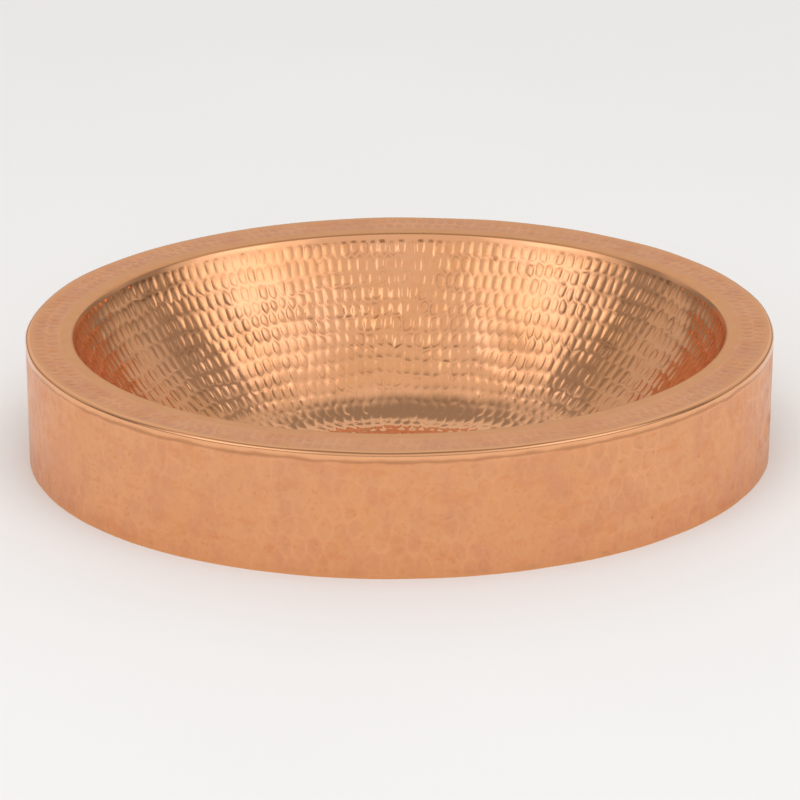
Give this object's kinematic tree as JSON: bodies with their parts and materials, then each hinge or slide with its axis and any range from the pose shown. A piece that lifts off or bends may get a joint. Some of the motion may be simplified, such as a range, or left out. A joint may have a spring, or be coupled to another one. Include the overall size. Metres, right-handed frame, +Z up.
{
  "type": "wash basin",
  "caption": "Oval hammered copper wash basin with a flat rim and a deep upright skirt, to stand on a counter over a cut-out, with a push-button drain.",
  "frame": {"origin": "centre of the skirt's foot, level with the top of the counter that the basin stands on", "axes": "+X along the basin's length, +Y to the wall behind it, +Z up; the user stands at -Y"},
  "size_m": [0.4318, 0.343, 0.1616],
  "materials": {
    "bowl_copper": "hammered and polished copper",
    "deck_copper": "satin copper with faint hammer marks",
    "skirt_copper": "satin copper with faint hammer marks, clouding and small pits",
    "drain_metal": "copper-plated brass, polished",
    "plain_brass": "turned brass",
    "black_rubber": "matt black",
    "white_nylon": "matt off-white",
    "stainless_steel": "turned stainless steel"
  },
  "bodies": {
    "basin": {"bowl": "bowl_copper", "rim_deck": "deck_copper", "skirt": "skirt_copper", "skirt_foot": "skirt_copper", "drain_body": "drain_metal", "back_nut": "plain_brass", "cartridge_housing": "plain_brass", "cartridge_end_plug": "plain_brass", "flange_gasket": "black_rubber", "cone_gasket": "black_rubber", "slip_washer": "white_nylon", "return_spring": "stainless_steel"},
    "plug": {"plug_cap": "drain_metal", "plug_seal": "black_rubber", "plunger_stem": "stainless_steel"}
  },
  "joints": [
    {"name": "plug_slide", "type": "slide", "parent": "basin", "child": "plug", "axis": [0, 0, 1], "range_m": [-0.009, 0], "stiffness_N_per_m": 300, "springref_m": 0.012, "deforming": ["return_spring"]}
  ]
}
